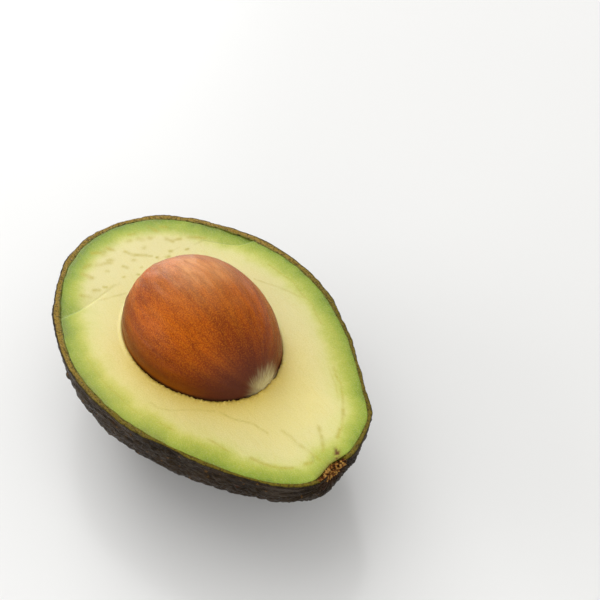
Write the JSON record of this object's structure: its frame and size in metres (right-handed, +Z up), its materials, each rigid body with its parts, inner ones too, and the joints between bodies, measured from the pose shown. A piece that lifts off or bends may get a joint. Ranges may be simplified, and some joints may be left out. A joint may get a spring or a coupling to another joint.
{
  "type": "avocado half with pit",
  "caption": "Half of a ripe avocado cut lengthwise, with dark pebbled skin, green-edged flesh and its pit seated in the middle.",
  "frame": {"origin": "the middle of the bounding box's underside, on the surface that the half rests on", "axes": "+Z up out of the cut face, +X along the fruit towards the stem end, +Y across it"},
  "size_m": [0.0998, 0.0678, 0.0487],
  "materials": {
    "skin": "pebbled, satin, almost black",
    "flesh": "moist satin, pale yellow with a green edge",
    "pit": "satin, orange-brown with fine veins",
    "stem_cork": "matt, corky and fibrous"
  },
  "bodies": {
    "root": {"skin": "skin", "flesh": "flesh", "pit": "pit", "stem_stub": "stem_cork"}
  },
  "joints": []
}
